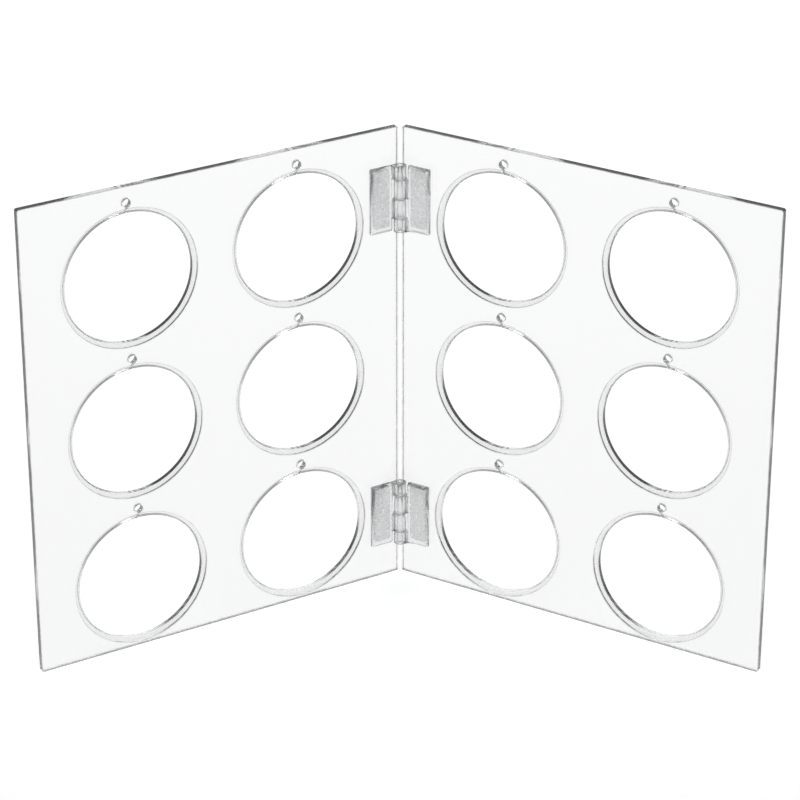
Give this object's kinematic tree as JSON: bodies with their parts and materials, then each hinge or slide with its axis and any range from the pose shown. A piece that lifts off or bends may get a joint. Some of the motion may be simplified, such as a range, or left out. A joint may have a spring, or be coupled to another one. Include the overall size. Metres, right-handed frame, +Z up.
{
  "type": "hinged coin display",
  "caption": "Free-standing book-like display of clear plastic: two hinged panels with stepped round openings that hold coins or round capsules, seen from both sides.",
  "frame": {"origin": "centre of the standing V's bounding box, at the level of the panels' lower edges", "axes": "+Z up along the hinge line; X across the V, left panel on the -X side; the V opens towards -Y, which is the front"},
  "size_m": [0.2546, 0.0746, 0.178],
  "materials": {
    "panel": "clear polished acrylic sheet",
    "hinge_leaf": "clear moulded plastic, faintly cloudy",
    "hinge_pin": "clear plastic rod",
    "bond": "cured clear adhesive, mottled grey"
  },
  "bodies": {
    "left_side": {"left_panel": "panel", "upper_hinge_left_leaf": "hinge_leaf", "upper_left_bond_pad": "bond", "lower_hinge_left_leaf": "hinge_leaf", "lower_left_bond_pad": "bond", "upper_hinge_pin": "hinge_pin", "lower_hinge_pin": "hinge_pin"},
    "right_side": {"right_panel": "panel", "upper_hinge_right_leaf": "hinge_leaf", "upper_right_bond_pad": "bond", "lower_hinge_right_leaf": "hinge_leaf", "lower_right_bond_pad": "bond"}
  },
  "joints": [
    {"name": "book_fold", "type": "hinge", "parent": "left_side", "child": "right_side", "pos_m": [0, 0.03258, 0], "axis": [0, 0, 1], "range_deg": [-120, 20]}
  ]
}
